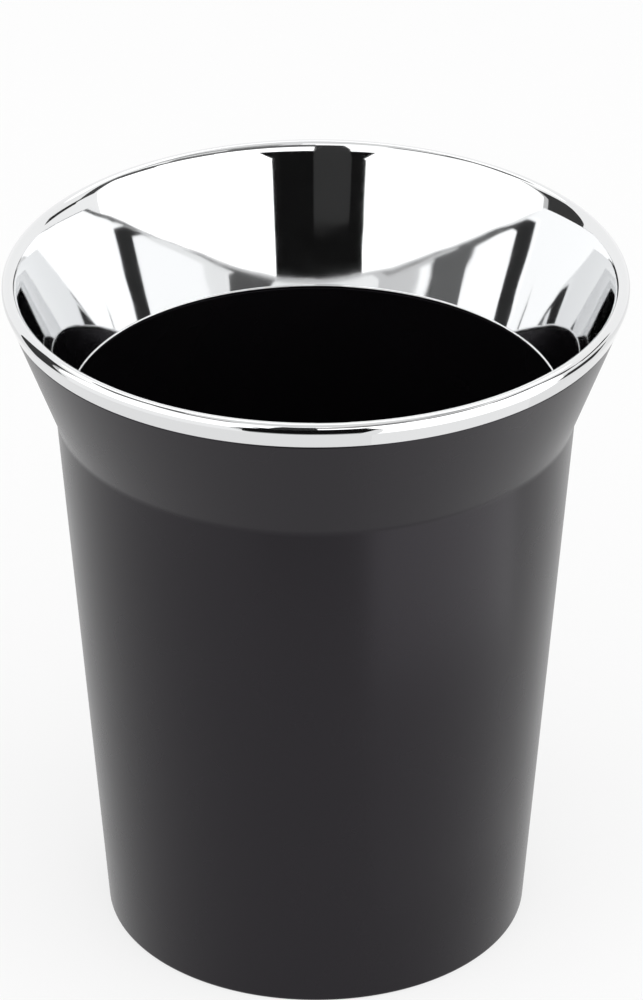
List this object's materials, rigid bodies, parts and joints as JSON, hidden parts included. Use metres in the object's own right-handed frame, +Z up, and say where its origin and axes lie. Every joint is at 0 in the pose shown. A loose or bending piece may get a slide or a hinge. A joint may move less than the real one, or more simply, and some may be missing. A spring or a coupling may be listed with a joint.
{
  "type": "cutlery holder",
  "caption": "Round tapered table-top cup with a flared mouth and a lift-off mirror-plated funnel collar, for standing cutlery upright.",
  "frame": {"origin": "centre of the foot, on the surface that the holder stands on", "axes": "+Z up along the cup's axis, out of its mouth; X and Y are any two level directions, because the holder is round"},
  "size_m": [0.13, 0.13, 0.15],
  "materials": {
    "black_moulding": "satin",
    "chrome_plating": "polished"
  },
  "bodies": {
    "cup": {"cup": "black_moulding"},
    "collar": {"collar": "chrome_plating"}
  },
  "joints": [
    {"name": "collar_lift", "type": "slide", "parent": "cup", "child": "collar", "axis": [0, 0, 1], "range_m": [0, 0.04]}
  ]
}
